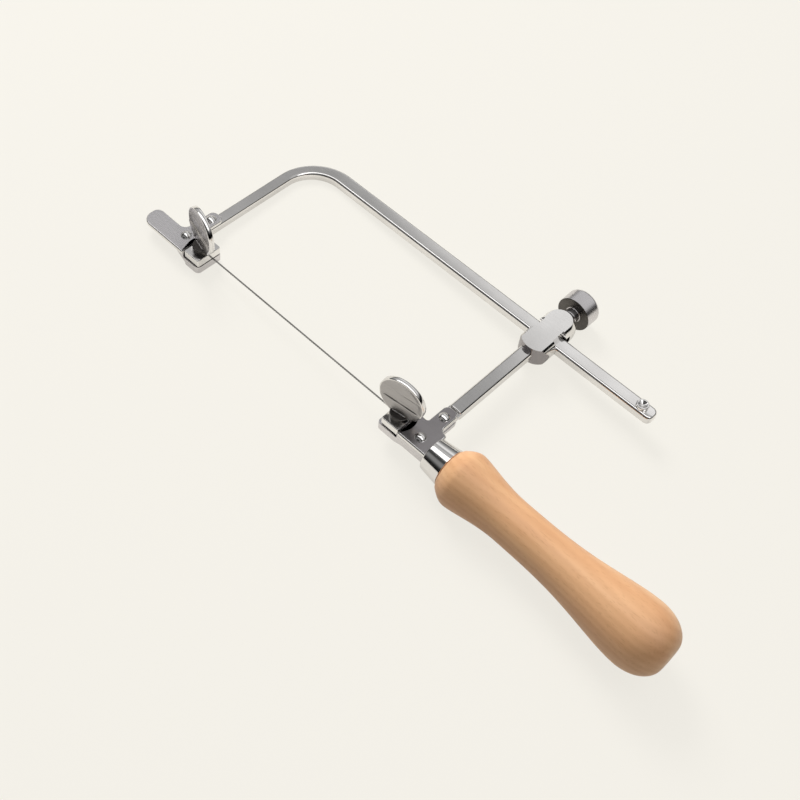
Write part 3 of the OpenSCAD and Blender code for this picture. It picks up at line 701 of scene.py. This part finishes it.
def leaf_half_thickness(rim, height):
    """Half the leaf's thickness at a distance from its rim and a height over the jaw.

    The rim is crisp, the thumb hollow has a faint crease, and the root below the ridge is thicker.
    """
    def eased(value):
        value = max(0.0, min(1.0, value))
        return value * value * (3 - 2 * value)
    rim_half, root_half, dish, crease, rounding = 1.1, 1.25, 0.33, 0.16, 0.3
    dished = rim_half - dish * eased((rim - 0.7) / 2.2)
    dished += crease * math.exp(-((height - LEAF_CREASE) / 0.45) ** 2) * eased(rim / 2)
    half = dished + (root_half - dished) * eased((LEAF_RIDGE + 0.25 - height) / 0.5)
    if rim < rounding:
        half -= rounding - math.sqrt(max(0.0, rounding ** 2 - (rounding - rim) ** 2))
    return half if rim > 1e-6 else 0.0


def make_leaf(side, x, y, turn_degrees):
    """The pressed leaf that the thumb turns, with its root sunk into the collar."""
    place = Matrix.Translation((x, y, JAW_TOP)) @ Matrix.Rotation(math.radians(turn_degrees), 4, "Z")
    place = place @ Matrix.Rotation(math.pi / 2, 4, "X")
    around, rings = 144, 40
    inner_shares = [(1 - ring / rings) ** 1.6 for ring in range(rings + 1)]
    leaf = bmesh.new()
    rim_points = []
    for face in (-1, 1):
        grid = []
        for ring, inner_share in enumerate(inner_shares):
            if ring == rings and rim_points:
                grid.append(rim_points)
                continue
            share = 1 - inner_share
            loop = []
            for i in range(around if ring else 1):
                angle = 2 * math.pi * i / around
                reach = LEAF_RADIUS
                if math.sin(angle) < 0:
                    reach = min(LEAF_RADIUS, (LEAF_RISE - LEAF_BASE) / -math.sin(angle))
                sideways = share * reach * math.cos(angle)
                height = LEAF_RISE + share * reach * math.sin(angle)
                half = leaf_half_thickness((1 - share) * reach, height)
                loop.append(leaf.verts.new(place @ Vector((sideways, height, face * half))))
            grid.append(loop)
        rim_points = grid[-1]
        for inner_share, inner, outer in zip(inner_shares, grid, grid[1:]):
            for i in range(around):
                if len(inner) == 1:
                    leaf.faces.new((inner[0], outer[i - 1], outer[i]))
                else:
                    made = leaf.faces.new((inner[i - 1], outer[i - 1], outer[i], inner[i]))
                    made.material_index = int(inner_share * LEAF_RADIUS < LEAF_RIM)
    root = [(-ROOT_HALF, -ROOT_THICKNESS / 2), (ROOT_HALF, -ROOT_THICKNESS / 2),
            (ROOT_HALF, ROOT_THICKNESS / 2), (-ROOT_HALF, ROOT_THICKNESS / 2)]
    slab(leaf, root, COLLAR_HEIGHT / 2, COLLAR_HEIGHT + 0.8, 0.3,
         place=place @ Matrix.Rotation(-math.pi / 2, 4, "X"))
    piece(side + "_leaf", leaf, side + "_wing", LEAF_PLATE, "pressed_leaf", side + "_wing_leaf", crease=50,
          edges=NICKEL)


def make_bow():
    """The bow: front arm, bend and spine in one bar, and the dished stop pin near its free end."""
    bm = bmesh.new()
    outline = filleted([(FRONT_ARM_OUTER, ARM_FOOT, 0.3), (FRONT_ARM_INNER, ARM_FOOT, 0.3),
                        (FRONT_ARM_INNER, SPINE_INNER, BEND_INNER), (SPINE_END, SPINE_INNER, 2.6),
                        (SPINE_END, SPINE_OUTER, 2.6), (FRONT_ARM_OUTER, SPINE_OUTER, BEND_OUTER)], steps=24)
    slab(bm, outline, -BAR_TOP, BAR_TOP, 1.2, [circle(PIN_PLACE, SPINE_LINE, PIN_HOLE)], steps=9, foot=0.5)
    piece("bow", bm, "bow", NICKEL, "plated_steel", "bow_bar")
    pin = bmesh.new()
    profile = filleted([(0, -BAR_TOP, 0), (PIN_SHANK, -BAR_TOP, 0.25), (PIN_SHANK, BAR_TOP - 0.1, 0),
                        (PIN_HEAD - 0.1, BAR_TOP - 0.1, 0), (PIN_HEAD, BAR_TOP + 0.1, 0.1),
                        (PIN_HEAD, PIN_TOP, 0.45), (2.0, PIN_TOP, 0.25), (0.5, PIN_DISH, 0.3),
                        (0, PIN_DISH, 0)], closed=False)
    turned(pin, profile, Matrix.Translation((PIN_PLACE, SPINE_LINE, 0)), around=48)
    piece("stop_pin_turned", pin, "bow", NICKEL, "plated_steel", "stop_pin")


def arm_section(fit=0.0, steps=8):
    """Section of the rear arm, a flat bar with rounded sides, or of its socket with a fit."""
    wide, thick = ARM_HALF_WIDTH + fit, ARM_HALF_THICKNESS + fit
    return filleted([(-wide, -thick, ARM_CORNER), (wide, -thick, ARM_CORNER), (wide, thick, ARM_CORNER),
                     (-wide, thick, ARM_CORNER)], steps=steps)


def make_rear_arm():
    """The rear arm with the flat tongue that the clamp's plates hold."""
    bm = bmesh.new()
    slab(bm, arm_section(steps=10), 0.0, ARM_TOP - ARM_START, 0.5, place=along_y(REAR_ARM, ARM_START))
    left, right = REAR_ARM - TONGUE_HALF, REAR_ARM + TONGUE_HALF
    tongue = [(left, ARM_FOOT), (right, ARM_FOOT), (right, TONGUE_END), (left, TONGUE_END)]
    slab(bm, tongue, BED_TOP, TONGUE_TOP, 0.25)
    piece("rear_arm_bar", bm, "handle_frame", NICKEL, "plated_steel", "rear_arm")


def make_slider_block():
    """A round bar milled to two flats and a round nose, slotted for the spine, with a mouth on each side."""
    blank = bmesh.new()
    end_turns = [math.pi / 2 * i / 20 for i in range(21)]
    profile = [(0.0, BLOCK_START), (BLOCK_RADIUS, BLOCK_START)]
    profile += [(BLOCK_RADIUS * math.cos(turn), BLOCK_OUTER + BLOCK_RADIUS * math.sin(turn))
                for turn in end_turns]
    turned(blank, profile, along_y(BLOCK_PLACE, 0), around=96)
    nose_turns = [math.pi * i / 40 for i in range(41)]
    outline = [(BLOCK_PLACE - NOSE_HALF * math.cos(turn), BLOCK_INNER - NOSE_DEPTH * math.sin(turn))
               for turn in nose_turns]
    outline += [(BLOCK_PLACE + NOSE_HALF, FLATS_END), (BLOCK_PLACE - NOSE_HALF, FLATS_END)]
    flats = bmesh.new()
    slab(flats, outline, -BLOCK_FLAT, BLOCK_FLAT, 0, foot=NOSE_FOOT, steps=8)
    slot_half, slot_low = BAR_TOP + SLOT_FIT, SPINE_INNER - SLOT_FIT
    slot = square_cutter((BLOCK_PLACE - CUTTER_REACH, slot_low, -slot_half),
                         (BLOCK_PLACE + CUTTER_REACH, POCKET_END, slot_half))
    tools = [("INTERSECT", flats), ("DIFFERENCE", slot)]
    for low, high in ((-CUTTER_REACH, -MOUTH_WALL), (MOUTH_WALL, CUTTER_REACH)):
        mouth = square_cutter((BLOCK_PLACE + low, slot_low, -slot_half),
                              (BLOCK_PLACE + high, SPINE_OUTER + SLOT_FIT, MOUTH_TOP))
        tools.append(("DIFFERENCE", mouth))
    socket = bmesh.new()
    slab(socket, arm_section(SEAT_FIT), BLOCK_START - CUTTER_REACH, ARM_TOP, 0, place=along_y(REAR_ARM, 0))
    tools.append(("DIFFERENCE", socket))
    slider = worked(blank, tools, 0.22)
    slider.normal_update()
    # Painted shade: the nose's faces that look down and to the near side take the darker satin, for the
    # shaded floor they mirror
    for face in slider.faces:
        near_nose = face.calc_center_median().y < NOSE_SHADE_END
        face.material_index = int(face.normal.z < 0.5 and face.normal.y < -0.1 and near_nose)
    piece("slider", slider, "handle_frame", NICKEL, "plated_steel", "slider_block", crease=45, edges=SHADE_PAINTED_SATIN)


def make_lock_knob():
    """The turned lock knob on its neck; its inner face takes the dark screw steel as painted shade and
    painted dark reflection.
    """
    bm = bmesh.new()
    profile = filleted([(0, 0, 0), (KNOB_NECK, 0, 0.3), (KNOB_NECK, KNOB_FACE, 0.3),
                        (KNOB_INNER_RADIUS, KNOB_FACE - 0.15, 0.25), (KNOB_OUTER_RADIUS, KNOB_LENGTH, 1.7),
                        (2.0, KNOB_LENGTH, 1.0), (0, KNOB_LENGTH - 0.09, 0)], closed=False, steps=12)
    turned(bm, profile, along_y(BLOCK_PLACE, KNOB_START), around=96)
    # Painted shade: the face round the neck takes the dark screw steel, for the shade and dark reflection of
    # the block in front of it
    for face in bm.faces:
        middle = face.calc_center_median()
        outside_neck = math.hypot(middle.x - BLOCK_PLACE, middle.z) > KNOB_NECK + 0.3
        face.material_index = int(middle.y < KNOB_START + KNOB_FACE + 0.1 and outside_neck)
    piece("lock_knob_turned", bm, "lock", SATIN, "plated_steel", "lock_knob", edges=SCREW_STEEL_AND_KNOB_SHADE)


def dress_kept_nodes():
    """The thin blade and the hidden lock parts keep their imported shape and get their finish."""
    for node, material in (("saw_blade", SPRING_STEEL), ("pressure_shoe", SCREW_STEEL_AND_KNOB_SHADE),
                           ("lock_screw", SCREW_STEEL_AND_KNOB_SHADE)):
        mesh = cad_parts[node].data
        mesh.materials.clear()
        mesh.materials.append(material)


def floor_height(x, y):
    """Height of the floor, a plane under the points that the saw rests on: bead, front rivet and knob."""
    return -10.27 - 0.0532 * x + 0.0306 * y


def lay_floor():
    """A wide pale floor under the saw."""
    reach = 12000
    bm = bmesh.new()
    corners = [(-reach, -reach), (reach, -reach), (reach, reach), (-reach, reach)]
    bm.faces.new([bm.verts.new((x, y, floor_height(x, y))) for x, y in corners])
    mesh = bpy.data.meshes.new("floor")
    bm.to_mesh(mesh)
    bm.free()
    mesh.transform(Matrix.Scale(MM, 4))
    floor = bpy.data.objects.new("floor", mesh)
    scene.collection.objects.link(floor)
    # Pale cream paper: rough, without any gloss; the eye and the metal see it near its own colour
    material, tree, shader = finish("cream_paper", Base_Color=linear("#D8D4CB"), Roughness=0.9,
                                    Specular_IOR_Level=0.1)
    path = add(tree, "ShaderNodeLightPath")
    mirrored = add(tree, "ShaderNodeMath", {1: 0.6}, {0: path.outputs["Is Glossy Ray"]}, operation="MULTIPLY")
    share = add(tree, "ShaderNodeMath", {1: 0.85},
                {0: path.outputs["Is Camera Ray"], 2: mirrored.outputs["Value"]}, operation="MULTIPLY_ADD")
    glow = add(tree, "ShaderNodeEmission", {"Color": linear("#F8F5ED"), "Strength": 1.0})
    mix = add(tree, "ShaderNodeMixShader", links={0: share.outputs["Value"], 1: shader.outputs["BSDF"],
                                                 2: glow.outputs["Emission"]})
    tree.links.new(mix.outputs["Shader"], tree.nodes["Material Output"].inputs["Surface"])
    mesh.materials.append(material)


def hang_lamp(name, place, aim, size, watts, mirrored):
    """A soft rectangular lamp that looks along its aim; the metal mirrors it or passes it over."""
    lamp = bpy.data.lights.new(name, "AREA")
    lamp.shape = "RECTANGLE"
    lamp.size, lamp.size_y = size
    lamp.energy = watts
    holder = bpy.data.objects.new(name, lamp)
    holder.location = place
    holder.rotation_euler = aim.to_track_quat("-Z", "Y").to_euler()
    holder.visible_glossy = mirrored
    scene.collection.objects.link(holder)


def light_the_studio():
    """A grey tent over the far side, with a key lamp and a strip.

    The tent is dark near by and round the horizon, and low down at the right.
    """
    world = bpy.data.worlds.new("studio")
    scene.world = world
    world.use_nodes = True
    tree = world.node_tree
    room = tree.nodes["Background"]
    way = add(tree, "ShaderNodeTexCoord").outputs["Generated"]
    side = add(tree, "ShaderNodeSeparateXYZ", links={0: way})
    spread = add(tree, "ShaderNodeMapRange", {"From Min": -1.0, "From Max": 1.0},
                 {"Value": side.outputs["Y"]})
    shades = [(0.0, 0.02), (0.10, 0.04), (0.16, 0.24), (0.23, 0.24), (0.29, 0.05), (0.40, 0.07), (0.46, 0.14),
              (0.54, 0.36), (0.68, 0.55), (0.705, 0.52), (0.735, 0.40), (0.765, 0.33), (0.775, 0.42),
              (0.795, 0.94), (0.84, 0.90), (0.90, 0.40)]
    tent = set_stops(add(tree, "ShaderNodeValToRGB", links={"Fac": spread.outputs["Result"]}),
                     [(place, (shade, shade, shade, 1)) for place, shade in shades])
    tree.links.new(tent.outputs["Color"], room.inputs["Color"])
    height = add(tree, "ShaderNodeMapRange", {"From Min": 0.06, "From Max": 0.42, "To Min": 0.04},
                 {"Value": side.outputs["Z"]})
    flank = add(tree, "ShaderNodeMapRange",
                {"From Min": 0.4, "From Max": 0.62, "To Min": 1.0, "To Max": 0.05},
                {"Value": side.outputs["X"]})
    overhead = add(tree, "ShaderNodeMapRange", {"From Min": 0.3, "From Max": 0.55},
                   {"Value": side.outputs["Z"]})
    lit = add(tree, "ShaderNodeMath", links={0: flank.outputs["Result"], 1: overhead.outputs["Result"]},
              operation="MAXIMUM")
    power = add(tree, "ShaderNodeMath", links={0: height.outputs["Result"], 1: lit.outputs["Value"]},
                operation="MULTIPLY")
    tree.links.new(power.outputs["Value"], room.inputs["Strength"])
    paper = add(tree, "ShaderNodeBackground", {"Color": linear("#F8F5ED")})
    path = add(tree, "ShaderNodeLightPath")
    shown = add(tree, "ShaderNodeMixShader",
                links={0: path.outputs["Is Camera Ray"], 1: room.outputs["Background"],
                       2: paper.outputs["Background"]})
    tree.links.new(shown.outputs["Shader"], tree.nodes["World Output"].inputs["Surface"])
    middle = Vector((0.0, 0.02, 0.0))
    key_place = Vector((-0.85, 0.36, 0.92))
    hang_lamp("key_lamp", key_place, middle - key_place, (0.5, 0.5), 14.5, False)
    hang_lamp("strip_lamp", Vector((0.0, 0.02, 0.9)), Vector((0, 0, -1)), (2.2, 0.42), 4.4, True)


def set_camera():
    """The viewer's place: above the blade's near side, looking down across it to the spine."""
    lens = bpy.data.cameras.new("viewer")
    lens.lens = 53.55
    lens.sensor_width = 36.0
    lens.clip_start = 0.01
    viewer = bpy.data.objects.new("viewer", lens)
    place = Vector((156.9, -215.6, 379.9)) * MM
    right = Vector((0.7228, 0.6844, 0.0953))
    up = Vector((-0.6013, 0.5551, 0.5747))
    back = Vector((0.3405, -0.4727, 0.8128))
    turn = Matrix((right, up, back)).transposed().to_4x4()
    viewer.matrix_world = Matrix.Translation(place) @ turn
    scene.collection.objects.link(viewer)
    scene.camera = viewer


set_camera()
light_the_studio()
lay_floor()
make_handle()
make_ferrule()
make_rear_clamp()
make_front_clamp()
make_rivet("rear_arm_rivet", REAR_ARM, REAR_ARM_RIVET, TAIL_BOTTOM, REAR_COVER_TOP, "handle_frame")
make_rivet("rear_hub_rivet", REAR_ARM, REAR_HUB_RIVET, TAIL_BOTTOM, REAR_COVER_TOP, "handle_frame")
make_rivet("front_arm_rivet", FRONT_RIVETS, FRONT_ARM_RIVET, -BAR_TOP, FRONT_COVER_TOP, "bow")
make_rivet("front_hub_rivet", FRONT_RIVETS, FRONT_HUB_RIVET, TAIL_BOTTOM, FRONT_COVER_TOP, "bow")
make_wing_screw("rear", SCREW_PLACE, REAR_SCREW)
make_leaf("rear", SCREW_PLACE, REAR_SCREW, REAR_LEAF_DEGREES)
make_wing_screw("front", -BLADE_SPAN - SCREW_PLACE, FRONT_SCREW)
make_leaf("front", -BLADE_SPAN - SCREW_PLACE, FRONT_SCREW, FRONT_LEAF_DEGREES)
make_bow()
make_rear_arm()
make_slider_block()
make_lock_knob()
dress_kept_nodes()

bpy.context.view_layer.update()
